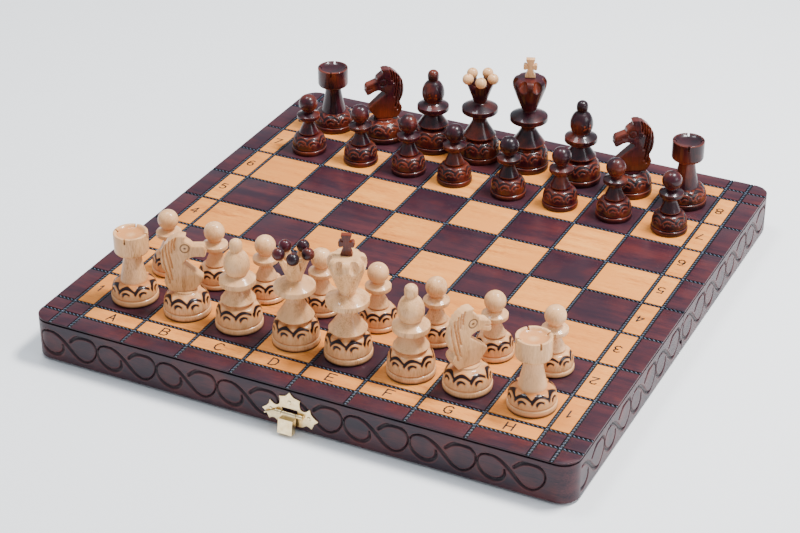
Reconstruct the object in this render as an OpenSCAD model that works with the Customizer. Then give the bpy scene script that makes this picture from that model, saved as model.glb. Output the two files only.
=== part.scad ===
// Folding wooden chess set: a hinged board in two hollow halves, standing open
// with its playing face up, and 32 turned chessmen on their starting squares.
// +X runs from file a to file h, +Y from rank 1 to rank 8, +Z up.
// The origin is the middle of the open board, on the surface that it stands on.

/* [Board] */
// Side of one playing square
square = 30; // [29:0.5:33]
// Width of the strip that carries the letters and numbers
label_w = 11.1; // [9:0.1:13]
// Width of the dark border outside that strip
border_w = 10.9; // [10:0.1:13]
// Thickness of one half, from its rim to its playing face
half_h = 21.5; // [21:0.5:26]
// Thickness of the playing panel
panel_t = 4; // [3:0.5:5]
// Thickness of the walls under the panel
wall_t = 9; // [9:0.5:10]
// Radius of the board's upright corners
corner_r = 9; // [5:0.5:9]
// Gap between the two halves at the fold
fold_gap = 0.5; // [0.4:0.1:0.8]
// Width of the rolled line between two squares
line_w = 1.8; // [1:0.1:2.4]
// Depth of that line
line_d = 0.4; // [0.2:0.1:0.6]

/* [Hinges] */
// Distance of each hinge from the board's middle
hinge_x = 85; // [60:1:105]
// Length of a hinge
hinge_len = 24; // [20:1:30]
// Reach of a leaf from the fold
leaf_reach = 8; // [7:0.5:8]
// Thickness of a leaf
leaf_t = 0.8; // [0.6:0.1:0.9]
// Radius of the hinge barrel
barrel_r = 1.3; // [1.2:0.05:1.5]
// Radius of the hinge pin
pin_r = 0.6; // [0.5:0.05:0.7]

/* [Clasp] */
// Middle of the clasp, from the board's middle
clasp_x = 1.6; // [-10:0.1:10]
// Thickness of the stamped plates
plate_t = 0.6; // [0.5:0.1:0.7]
// Depth of the clasp's hinge line below the playing face
clasp_drop = 13.4; // [13:0.1:13.6]
// Width of the hasp's hollow cup
cup_w = 7.5; // [6:0.1:8]
// How far the cup stands out from its hinge line
cup_out = 3.5; // [3:0.1:3.6]
// Thickness of the hasp's sheet
cup_t = 0.5; // [0.4:0.05:0.5]
// Angle at which the hasp hangs out from the wall
hasp_tilt = 10; // [9:1:12]

/* [Chessmen] */
// Radius of a chessman's base
man_r = 11.7; // [11:0.1:12.5]
// Radius of a pawn's base
pawn_r = 9.7; // [9:0.1:10.5]
// Height of a pawn
pawn_h = 34; // [33:0.5:36]
// Height of a rook
rook_h = 37; // [36:0.5:39]
// Height of a knight's turned base
knight_base_h = 13; // [12.5:0.5:14]
// Thickness of a knight's head
knight_t = 7.2; // [7:0.1:8]
// Height of a bishop
bishop_h = 47.3; // [47:0.1:50]
// Height of a queen without her beads
queen_h = 46.4; // [46:0.2:49]
// Radius of a queen's bead
bead_r = 3.1; // [2.6:0.1:3.2]
// Height of a king without his cross
king_h = 54; // [53:0.5:56]
// Height of a king's cross
cross_h = 11; // [9:0.5:12]

/* [Hidden] */
$fn = 48;
FILES = "abcdefgh";

LIGHT_WOOD = "#dfb277";
DARK_WOOD = "#5a2a22";
WALL_STAIN = "#4c3c3f";
BRASS = "#d8c48a";

half_w = 4 * square + label_w + border_w;
label_edge = 4 * square + label_w;
running = 0.05;                 // radial play of a pin in its knuckle
hinge_z = barrel_r;             // height of the fold line, with the barrels on the table
rim_lift = 0.2;                 // height of the rims above the fold line
leaf_lift = 0.1;                // height of the leaves' faces above the fold line
rim_z = hinge_z + rim_lift;
top_z = rim_z + half_h;
under_panel_z = top_z - panel_t;
knuckles = 5;
clasp_z = top_z - clasp_drop;
clasp_out = plate_t + 0.9;      // distance of the clasp's hinge line from the wall
clasp_r = 1.1;
clasp_pin_r = 0.45;
clasp_len = 14.6;
tooth_r = 0.6;                  // radius of the bar on the catch
tooth_z = tooth_r + 0.05;       // height of the bar, just above the table
hasp_len = clasp_z - 0.75;      // the closed hasp reaches just past the folded catch's bar
hinge_nail_y = 4.8;             // distance of the hinge nails from the fold

// Small shifts of the men from the middle of their squares, as set by hand
white_men_dx = [-1, -1.1, -2, -0.5, -2.5, 0.5, -1, 1.5];
white_men_dy = [0.6, 0.8, 1.1, 0.6, 0.6, 0.1, 0.6, -0.4];
white_pawn_dx = [0.7, -2.1, -3.1, -2.6, -1.8, -1.2, -1.3, -1.3];
white_pawn_dy = [1.3, 0.6, 0, 0.9, 0.5, 0.8, 1.3, 1.9];
black_men_dx = [-1.5, 0.3, 0.8, -0.7, -2.2, -0.7, -1.1, -0.5];
black_men_dy = [1, 1.4, 2.2, 2.1, 3.8, 1.9, 1.8, 2.2];
black_pawn_dx = [0, 2, 1.2, -1.3, 1.1, 0.8, 1, 2.2];
black_pawn_dy = [-1.4, -0.5, 0.2, 0.6, -0.3, 0.6, 1.4, 0.4];

// Points along an arc with radii r = [across, up]
function arc(c, r, from, to, n = 8) =
    [for (i = [0:n]) let (a = from + (to - from) * i / n) c + [r[0] * cos(a), r[1] * sin(a)]];

// ---------------------------------------------------------------- board

module plan() {
    flat = 2 * (half_w - corner_r);
    square([2 * half_w, flat], center = true);
    square([flat, 2 * half_w], center = true);
    for (x = [-1, 1], y = [-1, 1])
        translate([x, y] * (half_w - corner_r)) circle(corner_r);
}

// The part of the plan between two distances from the fold, on one side of it
module strip(side, near, far) {
    intersection() {
        plan();
        translate([-half_w, side > 0 ? near : -far]) square([2 * half_w, far - near]);
    }
}

module rolled_lines(side) {
    file_lines = concat([-label_edge, label_edge], [for (i = [-4:4]) i * square]);
    rank_lines = concat([label_edge], [for (i = [1:4]) i * square]);
    for (x = file_lines)
        translate([x - line_w / 2, -half_w - 1, top_z - line_d])
            cube([line_w, 2 * half_w + 2, 1]);
    for (y = rank_lines)
        translate([-half_w - 1, side * y - line_w / 2, top_z - line_d])
            cube([2 * half_w + 2, line_w, 1]);
}

module panel(side) color(LIGHT_WOOD) difference() {
    translate([0, 0, under_panel_z]) linear_extrude(panel_t) strip(side, fold_gap / 2, half_w);
    rolled_lines(side);
}

module outer_wall(side) color(WALL_STAIN)
    translate([0, 0, rim_z]) linear_extrude(half_h - panel_t)
        strip(side, half_w - wall_t, half_w);

module side_wall(side, end) color(WALL_STAIN) {
    near = fold_gap / 2 + wall_t;
    far = half_w - wall_t;
    translate([end > 0 ? half_w - wall_t : -half_w, side > 0 ? near : -far, rim_z])
        cube([wall_t, far - near, half_h - panel_t]);
}

module hinge_wall(side) color(DARK_WOOD) difference() {
    translate([-half_w, side > 0 ? fold_gap / 2 : -fold_gap / 2 - wall_t, rim_z])
        cube([2 * half_w, wall_t, half_h - panel_t]);
    for (x = [-hinge_x, hinge_x]) {
        // seat of the leaf, sunk into the rim
        translate([x - hinge_len / 2 - 0.2, side > 0 ? 0 : -leaf_reach - 0.2, rim_z - 1])
            cube([hinge_len + 0.4, leaf_reach + 0.2, 1 + leaf_t + leaf_lift - rim_lift]);
        // room for the barrel
        translate([x - hinge_len / 2 - 0.4, 0, hinge_z])
            rotate([0, 90, 0]) cylinder(r = barrel_r + 0.8, h = hinge_len + 0.8);
    }
}

// ---------------------------------------------------------------- hinges

module nail_places(side) {
    for (x = [-hinge_x, hinge_x], i = [-1:1])
        translate([x + i * hinge_len / 3, side * hinge_nail_y, hinge_z + leaf_lift])
            children();
}

module leaves(side) color(BRASS) {
    step = hinge_len / knuckles;
    first = side < 0 ? 0 : 1;
    inner = barrel_r + 0.5;
    difference() {
        for (x = [-hinge_x, hinge_x])
            translate([x - hinge_len / 2, 0, hinge_z]) {
                translate([0, side > 0 ? inner : -leaf_reach, leaf_lift])
                    cube([hinge_len, leaf_reach - inner, leaf_t]);
                for (i = [first:2:knuckles - 1])
                    translate([i * step + 0.1, 0, 0]) {
                        translate([0, side > 0 ? 0 : -inner, leaf_lift])
                            cube([step - 0.2, inner, leaf_t]);
                        rotate([0, 90, 0]) cylinder(r = barrel_r, h = step - 0.2);
                    }
            }
        for (x = [-hinge_x, hinge_x])
            translate([x - hinge_len / 2 - 1, 0, hinge_z])
                rotate([0, 90, 0]) cylinder(r = pin_r + running, h = hinge_len + 2);
        nail_places(side) countersunk_head();
    }
}

module hinge_pins() color(BRASS)
    for (x = [-hinge_x, hinge_x])
        translate([x - hinge_len / 2 - 0.2, 0, hinge_z])
            rotate([0, 90, 0]) cylinder(r = pin_r, h = hinge_len + 0.4);

module countersunk_head() cylinder(r1 = 1.2, r2 = 0.5, h = leaf_t);

module hinge_nail() {
    countersunk_head();
    cylinder(r = 0.5, h = 7);
}

// A nail through a plate: its head stands on the plate's face, its point runs inward along +Z
module plate_nail() {
    cylinder(r = 0.5, h = 7);
    translate([0, 0, -0.4]) cylinder(r1 = 0.65, r2 = 1.1, h = 0.4);
}

// ---------------------------------------------------------------- clasp

// Half of the plate's outline: [distance from its middle, distance below the playing face]
PLATE_EDGE = concat(
    [[0, -2.1], [1, -3.3], [2.1, -4.4], [3.8, -4.9], [5.5, -5.2], [5.1, -6.8], [5.2, -8.4]],
    arc([7.4, -8.6], [2.2, 2], 185, 330, 5),
    [[10.5, -8.7], [11, -10.9], [12.2, -12.4], [14.7, -14.2], [12.5, -16], [12, -17.4], [11.2, -19.2],
     [9.6, -18.2], [8.4, -18], [6.6, -19.4], [4, -19.8], [0, -19.8]]);

module on_wall(side) translate([clasp_x, side * half_w, top_z]) rotate([90, 0, 0]) children();

module clasp_nail_places() for (p = [[0, -7.4], [-10, -13.5], [10, -13.5]]) translate(p) children();

module clasp_plate() color(BRASS) {
    window_x = cup_w / 2 + 0.3;
    on_wall(-1) difference() {
        linear_extrude(plate_t)
            polygon(concat(PLATE_EDGE, [for (i = [len(PLATE_EDGE) - 2:-1:1])
                [-PLATE_EDGE[i][0], PLATE_EDGE[i][1]]]));
        // window behind the hasp's knuckle
        translate([-window_x, -clasp_drop - clasp_r - 0.6, -1])
            cube([2 * window_x, 2 * clasp_r + 2, plate_t + 2]);
        clasp_nail_places() cylinder(r = 0.5, h = 10, center = true);
    }
    // rolled knuckles on each side of the window
    for (end = [-1, 1])
        translate([clasp_x, -half_w - clasp_out, clasp_z]) difference() {
            union() {
                translate([end > 0 ? window_x : -clasp_len / 2, 0, 0])
                    rotate([0, 90, 0]) cylinder(r = clasp_r, h = clasp_len / 2 - window_x);
                translate([end > 0 ? window_x : -clasp_len / 2, 0, -clasp_r])
                    cube([clasp_len / 2 - window_x, clasp_out - plate_t / 2, clasp_r]);
            }
            translate([-clasp_len, 0, 0])
                rotate([0, 90, 0]) cylinder(r = clasp_pin_r + running, h = 2 * clasp_len);
        }
}

module clasp_hasp() color(BRASS)
    translate([clasp_x, -half_w - clasp_out, clasp_z]) rotate([-hasp_tilt, 0, 0]) difference() {
        union() {
            translate([-cup_w / 2, 0, 0]) rotate([0, 90, 0]) cylinder(r = clasp_r, h = cup_w);
            translate([-cup_w / 2, -clasp_r, -2.1]) cube([cup_w, 0.7, 2.1]);
            translate([-cup_w / 2, -cup_out, -hasp_len]) cube([cup_w, cup_out, hasp_len - 1.6]);
        }
        // the cup is hollow and open towards the wall
        translate([-cup_w / 2 + cup_t, -cup_out + cup_t, -hasp_len + cup_t])
            cube([cup_w - 2 * cup_t, cup_out + 1, hasp_len - 1.6 - 2 * cup_t]);
        translate([-cup_w, 0, 0])
            rotate([0, 90, 0]) cylinder(r = clasp_pin_r + running, h = 2 * cup_w);
    }

// A wire pin with one end bent down out of the barrel
module clasp_pin() color(BRASS)
    translate([clasp_x - clasp_len / 2 - 0.3, -half_w - clasp_out, clasp_z]) {
        rotate([0, 90, 0]) cylinder(r = clasp_pin_r, h = clasp_len + 0.6);
        rotate([0, -114, 0]) cylinder(r = clasp_pin_r, h = 6);
        sphere(clasp_pin_r + 0.05);
    }

module catch_nail_places() for (x = [-6, 6]) translate([x, -13]) children();

module catch_plate() color(BRASS) {
    edge = concat([[-1.6, tooth_z - 0.25 - top_z]], arc([-6, -13], [3, 3], 250, 110, 8), [[-3, -11.4]]);
    on_wall(1) translate([0, 0, -plate_t]) difference() {
        linear_extrude(plate_t)
            polygon(concat(edge, [for (i = [len(edge) - 1:-1:0]) [-edge[i][0], edge[i][1]]]));
        catch_nail_places() cylinder(r = 0.5, h = 10, center = true);
    }
    // tongue and bar that the cup closes over
    translate([clasp_x - 1.5, half_w + plate_t / 2, tooth_z - 0.25]) cube([3, 2 - plate_t / 2, 0.5]);
    translate([clasp_x - 1.5, half_w + 2, tooth_z])
        rotate([0, 90, 0]) cylinder(r = tooth_r, h = 3);
}

module front_nails() color(BRASS) {
    nail_places(-1) hinge_nail();
    on_wall(-1) clasp_nail_places() translate([0, 0, plate_t]) mirror([0, 0, 1]) plate_nail();
}

module back_nails() color(BRASS) {
    nail_places(1) hinge_nail();
    on_wall(1) catch_nail_places() translate([0, 0, -plate_t]) plate_nail();
}

// ---------------------------------------------------------------- chessmen

module stand(column, rank, dx, dy)
    translate([(column - 3.5) * square + dx, (rank - 3.5) * square + dy, top_z]) children();

// Turned base: a flat band, a groove and a bowl that closes in to the waist
function base_line(r, waist_r, waist_z) = let (band = 0.3 * r, bowl_z = band + 0.8) concat(
    [[0, 0], [r - 0.5, 0], [r, 0.6], [r, band - 0.6], [r - 0.5, band], [r - 0.9, band + 0.4]],
    [for (a = [0:12:84]) [waist_r + (r - 0.4 - waist_r) * pow(cos(a), 0.8),
        bowl_z + (waist_z - bowl_z) * pow(sin(a), 0.8)]]);

// Skirt above the waist, with a lip that hangs over by a drop, its neck, and a flat round disc
function skirt_line(lip, drop, neck, fullness, disc_r, disc_low, disc_high) = let (corner = 0.7) concat(
    [lip - drop * [0.9, 1], lip - drop * [0.12, 0.5]],
    [for (i = [0:6]) let (t = pow(i / 6, fullness), out = 0.5 * (1 - t) + 0.25 * (1 + cos(180 * t)))
        [neck[0] + (lip[0] - neck[0]) * out, lip[1] + (neck[1] - lip[1]) * i / 6]],
    [[neck[0] + 0.4, disc_low - 1.4], [0.62 * disc_r, disc_low - 0.3]],
    arc([disc_r - corner, disc_low + corner], [corner, corner], -80, 0, 3),
    arc([disc_r - corner, disc_high - corner], [corner, corner], 0, 60, 3));

// Closes an outline on the axis with a small step at the given height
function closed_at(r, z) = [[r, z - 0.6], [r, z], [0, z]];

module turned(line) rotate_extrude() polygon(line);

module pawn() {
    ball_r = 5.2;
    turned(concat(base_line(pawn_r, 5, 10.7), skirt_line([5.5, 11.6], 0.8, [3, 17.4], 1.15, 6.4, 20, 22.4),
        closed_at(2.8, 24.4)));
    translate([0, 0, pawn_h - ball_r]) sphere(ball_r);
}

module rook(turn = 20) {
    head_r = 8.5;
    head_z = rook_h - 11.4;
    difference() {
        turned(concat(base_line(man_r, 7.2, 10.5),
            [for (i = [0:5]) [4.2 + 2.9 * pow(1 - i / 5, 1.35), 9.9 + (head_z - 9.9) * i / 5]],
            [[5.4, head_z + 0.4], [head_r - 1, head_z + 1.6], [head_r, head_z + 2.8]],
            [[head_r, rook_h - 0.4], [head_r - 0.4, rook_h], [0, rook_h]]));
        translate([0, 0, rook_h - 1.8]) cylinder(r = head_r - 1.8, h = 2);
        // four saw cuts in the rim
        for (i = [0:3])
            rotate(turn + 90 * i) translate([head_r - 2.6, -0.5, rook_h - 3]) cube([4, 1, 4]);
    }
}

module knight_base() difference() {
    turned(concat(base_line(man_r, 5.9, knight_base_h - 1.4), [[5.7, knight_base_h], [0, knight_base_h]]));
    translate([0, 0, knight_base_h - 4]) cylinder(r = 2.05, h = 5);
}

// Side view of the head, nose towards +X, standing on Y = 0
HORSE = [[-7, 0], [3.2, 0], [4.6, 0.6], [6.2, 2.4], [8, 4.6], [8.9, 6.2], [8.6, 7.4], [4.9, 10.6],
    [-0.4, 14.9], [0, 15.9], [1.4, 16.9], [3.6, 17.7], [6, 17.6], [8.8, 16.6], [10, 16.5], [10.7, 17.6],
    [10.7, 19.4], [10.2, 21.8], [9.4, 22.5], [4.4, 23.6], [3.9, 24.8], [2.9, 25.9], [1.5, 27],
    [0.9, 27.9], [1.3, 29.3], [0, 29.9], [-2.2, 29.8], [-4.8, 28.7], [-7.2, 26.8], [-9.2, 24.5],
    [-10.7, 21.6], [-11.3, 18.6], [-11.3, 15.6], [-10.8, 12.8], [-9.9, 10.8], [-9, 9.2], [-8.9, 8.2],
    [-9.8, 6.4], [-9.8, 4.6], [-8.4, 2.1]];

module knight_head() {
    translate([0, 0, knight_base_h]) difference() {
        rotate([90, 0, 0]) translate([0, 0, -knight_t / 2]) linear_extrude(knight_t) polygon(HORSE);
        for (side = [-1, 1]) {
            // cheeks cut back in front of the mane, to a thinner nose
            translate([0, side * knight_t / 2, 0]) rotate(side * -7)
                translate([0.5, side > 0 ? 0 : -4, 14.5]) cube([14, 4, 20]);
            // grooves of the mane
            for (i = [0:2])
                translate([-7.8 + 1.7 * i, side * knight_t / 2, 8 + 2 * i]) rotate([0, -8, 0])
                    cylinder(r = 0.45, h = 14);
        }
    }
    translate([0, 0, knight_base_h - 3.8]) cylinder(r = 2, h = 4.2);
}

module bishop() {
    head_z = bishop_h - 13.7;
    turned(concat(base_line(man_r, 7.4, 12.7),
        skirt_line([8.5, 15.1], 1.3, [4.6, 20.9], 1.25, 8.9, 23.3, 26.3), closed_at(4.4, 28.6)));
    turned(concat([[0, head_z - 7.4]], arc([0, head_z], [6.3, 7.4], -70, 0, 6),
        arc([0, head_z], [6.3, 8.2], 12, 78, 6), [[0, head_z + 8.2]]));
    translate([0, 0, bishop_h - 3.2]) sphere(3.2);
}

BEADS = 5;
bead_ring = 7.2;

module bead_places() for (i = [0:BEADS - 1])
    rotate(i * 360 / BEADS - 64) translate([bead_ring, 0, queen_h + bead_r - 1]) children();

module queen() difference() {
    union() {
        turned(concat(base_line(man_r, 7.8, 12.2),
            skirt_line([9, 14.6], 1.3, [4.6, 22.4], 1, 10, 28.2, 31.2), closed_at(4.2, 34.2)));
        turned(concat([[0, 33.8], [3.7, 33.8]],
            [for (i = [0:6]) [3.7 + 4.3 * pow(i / 6, 1.1), 34.4 + (queen_h - 34.4) * i / 6]],
            [[5.4, queen_h], [0, queen_h - 5]]));
    }
    // V cuts between the five points
    for (i = [0:BEADS - 1])
        rotate((i + 0.5) * 360 / BEADS - 64) translate([1.5, 0, queen_h + 0.1])
            rotate([90, 0, 90]) linear_extrude(10) polygon([[-2.3, 0], [2.3, 0], [0, -6.5]]);
    bead_places() sphere(bead_r + running);
}

module queen_beads() bead_places() difference() {
    sphere(bead_r);
    translate([0, 0, bead_r - 1.2]) cylinder(r = 0.5, h = 2);
}

module king() difference() {
    union() {
        turned(concat(base_line(man_r, 8, 12.4),
            skirt_line([9.3, 15.2], 1.3, [4.4, 22.8], 1, 10.4, 28.3, 31.3), closed_at(4.2, 34.2)));
        turned(concat([[0, 33.8], [3.5, 33.8]],
            [for (i = [0:5]) [3.5 + 5.6 * pow(i / 5, 0.85), 34.4 + (king_h - 5.4 - 34.4) * i / 5]],
            arc([6.6, king_h - 3.2], [2.7, 2.9], 0, 75, 4), [[2, king_h], [0, king_h]]));
    }
    // seven gouged petals round the crown, deepest at the shoulder
    for (i = [0:6])
        rotate(i * 360 / 7 - 39.6) translate([10.6, 0, king_h - 8.5]) rotate([0, -17.5, 0])
            cylinder(r = 2.4, h = 12);
    translate([0, 0, king_h - 4]) cylinder(r = 1.25, h = 5);
}

module king_cross() {
    foot = 2.8;
    waist = 1.4;
    arm = 3.7;
    top = 2.4;
    edge = [[foot, 0], [foot, 1], [waist, 4.6], [waist + 0.1, 5], [arm, 4.6], [arm, 7.8],
        [waist + 0.2, 7.4], [top, cross_h - 1], [top, cross_h]];
    rotate(20) translate([0, 1.5, king_h]) rotate([90, 0, 0]) linear_extrude(3)
        polygon(concat(edge, [for (i = [len(edge) - 1:-1:0]) [-edge[i][0], edge[i][1]]]));
    translate([0, 0, king_h - 3.5]) cylinder(r = 1.2, h = 4);
}

module white(column, rank, dx, dy) color(LIGHT_WOOD) stand(column, rank, dx, dy) children();
module black(column, rank, dx, dy) color(DARK_WOOD) stand(column, rank, dx, dy) children();

module white_man(column) white(column, 0, white_men_dx[column], white_men_dy[column]) children();
module black_man(column) black(column, 7, black_men_dx[column], black_men_dy[column]) children();

// ---------------------------------------------------------------- nodes

panel(-1);  // front_panel
outer_wall(-1);  // front_outer_wall
side_wall(-1, -1);  // front_left_wall
side_wall(-1, 1);  // front_right_wall
hinge_wall(-1);  // front_hinge_wall
panel(1);  // back_panel
outer_wall(1);  // back_outer_wall
side_wall(1, -1);  // back_left_wall
side_wall(1, 1);  // back_right_wall
hinge_wall(1);  // back_hinge_wall
leaves(-1);  // hinge_front_leaves
leaves(1);  // hinge_back_leaves
hinge_pins();
front_nails();
back_nails();
clasp_plate();
clasp_hasp();
clasp_pin();
catch_plate();
for (i = [0:7]) {
    white(i, 1, white_pawn_dx[i], white_pawn_dy[i]) pawn();
    black(i, 6, black_pawn_dx[i], black_pawn_dy[i]) pawn();
}
white_man(0) rook(12);  // white_rook_a
white_man(7) rook(45);  // white_rook_h
white_man(1) knight_base();  // white_knight_base_b
white_man(1) rotate(26) knight_head();  // white_knight_head_b
white_man(6) knight_base();  // white_knight_base_g
white_man(6) rotate(56) knight_head();  // white_knight_head_g
white_man(2) bishop();  // white_bishop_c
white_man(5) bishop();  // white_bishop_f
white_man(3) queen();  // white_queen
color(DARK_WOOD) white_man(3) queen_beads();  // white_queen_beads
white_man(4) king();  // white_king
color(DARK_WOOD) white_man(4) king_cross();  // white_king_cross
black_man(0) rook();  // black_rook_a
black_man(7) rook();  // black_rook_h
black_man(1) knight_base();  // black_knight_base_b
black_man(1) rotate(221) knight_head();  // black_knight_head_b
black_man(6) knight_base();  // black_knight_base_g
black_man(6) rotate(214) knight_head();  // black_knight_head_g
black_man(2) bishop();  // black_bishop_c
black_man(5) bishop();  // black_bishop_f
black_man(3) queen();  // black_queen
color(LIGHT_WOOD) black_man(3) queen_beads();  // black_queen_beads
black_man(4) king();  // black_king
color(LIGHT_WOOD) black_man(4) king_cross();  // black_king_cross
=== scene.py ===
import math

import bpy
import numpy as np
from mathutils import Matrix, Vector
from mathutils.geometry import delaunay_2d_cdt


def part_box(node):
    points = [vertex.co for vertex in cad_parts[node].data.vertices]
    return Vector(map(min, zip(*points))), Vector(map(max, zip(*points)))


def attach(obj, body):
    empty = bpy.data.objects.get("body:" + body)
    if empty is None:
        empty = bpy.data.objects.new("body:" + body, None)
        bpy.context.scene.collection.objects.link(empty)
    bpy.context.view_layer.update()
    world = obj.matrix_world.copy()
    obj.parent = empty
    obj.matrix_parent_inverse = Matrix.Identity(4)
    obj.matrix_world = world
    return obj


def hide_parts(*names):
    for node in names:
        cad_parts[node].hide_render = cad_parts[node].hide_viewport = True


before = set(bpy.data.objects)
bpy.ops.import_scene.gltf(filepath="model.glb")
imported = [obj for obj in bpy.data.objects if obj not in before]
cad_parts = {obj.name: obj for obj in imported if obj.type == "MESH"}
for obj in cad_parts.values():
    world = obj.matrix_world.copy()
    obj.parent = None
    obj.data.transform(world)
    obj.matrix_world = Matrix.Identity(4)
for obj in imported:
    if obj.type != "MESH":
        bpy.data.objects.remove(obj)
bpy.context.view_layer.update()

# Shapes below are drawn in millimetres and scaled to metres as meshes are made.
MM = 0.001

# -------------------- sizes from the frame

panel_low, panel_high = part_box("front_panel")
TOP = panel_high.z / MM
UNDER_PANEL = panel_low.z / MM
HALF_W = panel_high.x / MM
FOLD = -panel_high.y / MM
WALL = (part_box("front_outer_wall")[1].y - panel_low.y) / MM
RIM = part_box("front_outer_wall")[0].z / MM

SQUARE = 30.0
LABEL_EDGE = 131.1
CORNER_R = 9.0
LINE_W = 2.1
LINE_DEEP = 0.6     # the rolled lines lie this far below the top of the squares
LINES_X = [-LABEL_EDGE, *(i * SQUARE for i in range(-4, 5)), LABEL_EDGE]
LINES_Y = [*(i * SQUARE for i in range(1, 5)), LABEL_EDGE]
FILES = "abcdefgh"

# -------------------- camera, light, floor


def place_camera():
    azimuth, elevation, roll = math.radians(26.36), math.radians(30.39), math.radians(-0.21)
    distance = 1.0173
    target = Vector((-0.0018, -0.0207, TOP * MM))
    back = Vector((math.sin(azimuth) * math.cos(elevation), -math.cos(azimuth) * math.cos(elevation),
                   math.sin(elevation)))
    right = Vector((math.cos(azimuth), math.sin(azimuth), 0))
    up = back.cross(right)
    rolled_right = right * math.cos(roll) + up * math.sin(roll)
    rolled_up = up * math.cos(roll) - right * math.sin(roll)
    camera = bpy.data.objects.new("camera", bpy.data.cameras.new("camera"))
    camera.data.sensor_width = 36
    camera.data.lens = 90.5
    camera.data.clip_start = 0.01
    turn = Matrix((rolled_right, rolled_up, back)).transposed().to_4x4()
    camera.matrix_world = Matrix.Translation(target + back * distance) @ turn
    bpy.context.scene.collection.objects.link(camera)
    bpy.context.scene.camera = camera


def area_light(name, place, size, power, colour=(1, 1, 1)):
    data = bpy.data.lights.new(name, "AREA")
    data.shape = "RECTANGLE"
    data.size, data.size_y = size
    data.energy = power
    data.color = colour
    light = bpy.data.objects.new(name, data)
    light.location = place
    light.rotation_euler = (Vector((0, 0, 0.02)) - Vector(place)).to_track_quat("-Z", "Y").to_euler()
    bpy.context.scene.collection.objects.link(light)


def place_lights():
    area_light("key", (0.38, 0.22, 1.05), (0.28, 0.22), 23)
    area_light("side", (1.1, -0.1, 0.6), (0.7, 0.5), 7, (0.93, 0.96, 1))
    area_light("overhead", (-0.35, 0.1, 1.2), (0.4, 0.3), 8, (0.9, 0.95, 1))
    world = bpy.data.worlds.new("studio")
    world.use_nodes = True
    world.node_tree.nodes["Background"].inputs["Color"].default_value = (0.80, 0.89, 1, 1)
    world.node_tree.nodes["Background"].inputs["Strength"].default_value = 0.7
    bpy.context.scene.world = world


# -------------------- materials


class Shader:
    """A small builder for one node material."""

    def __init__(self, name, rough, coat=0.0, coat_rough=0.1, metallic=0.0, shine=0.5):
        self.material = bpy.data.materials.new(name)
        self.material.use_nodes = True
        self.nodes = self.material.node_tree.nodes
        self.links = self.material.node_tree.links
        self.out = self.nodes["Principled BSDF"]
        self.out.inputs["Roughness"].default_value = rough
        self.out.inputs["Coat Weight"].default_value = coat
        self.out.inputs["Coat Roughness"].default_value = coat_rough
        self.out.inputs["Metallic"].default_value = metallic
        self.out.inputs["Specular IOR Level"].default_value = shine

    def feed(self, socket, value):
        """Links or sets a socket; a colour is given without its alpha."""
        if isinstance(value, bpy.types.NodeSocket):
            self.links.new(value, socket)
        else:
            socket.default_value = (*value, 1) if socket.type == "RGBA" else value

    def node(self, kind, **inputs):
        made = self.nodes.new(kind)
        for key, value in inputs.items():
            self.feed(made.inputs[key], value)
        return made

    def position(self, scale):
        place = self.node("ShaderNodeTexCoord").outputs["Object"]
        return self.node("ShaderNodeMapping", Vector=place, Scale=scale).outputs["Vector"]

    def noise(self, scale, detail=3.0, size=1.0, rough=0.5):
        made = self.node("ShaderNodeTexNoise", Vector=self.position(scale), Scale=size,
                         Detail=detail, Roughness=rough)
        return made.outputs["Fac"]

    def ramp(self, value, *stops):
        made = self.node("ShaderNodeValToRGB", Fac=value)
        points = made.color_ramp.elements
        while len(points) < len(stops):
            points.new(0.5)
        for point, (place, colour) in zip(points, stops):
            point.position = place
            point.color = (*colour, 1)
        return made.outputs["Color"]

    def mix(self, fac, a, b, blend="MIX"):
        made = self.nodes.new("ShaderNodeMix")
        made.data_type = "RGBA"
        made.blend_type = blend
        colour_a, colour_b, result = made.inputs[6], made.inputs[7], made.outputs[2]
        for socket, value in ((made.inputs[0], fac), (colour_a, a), (colour_b, b)):
            self.feed(socket, value)
        return result

    def math(self, operation, a, b=0.5):
        made = self.nodes.new("ShaderNodeMath")
        made.operation = operation
        made.use_clamp = True
        self.feed(made.inputs[0], a)
        self.feed(made.inputs[1], b)
        return made.outputs[0]

    def attribute(self, name):
        made = self.nodes.new("ShaderNodeAttribute")
        made.attribute_name = name
        return made.outputs["Fac"]

    def colour(self, socket):
        self.links.new(socket, self.out.inputs["Base Color"])

    def bump(self, height, strength, distance):
        made = self.node("ShaderNodeBump", Height=height, Strength=strength, Distance=distance * MM)
        self.links.new(made.outputs["Normal"], self.out.inputs["Normal"])


def grain_scale(scale, along, stretch):
    """A texture scale drawn out along one axis."""
    return [scale * stretch if axis == along else scale for axis in range(3)]


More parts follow.
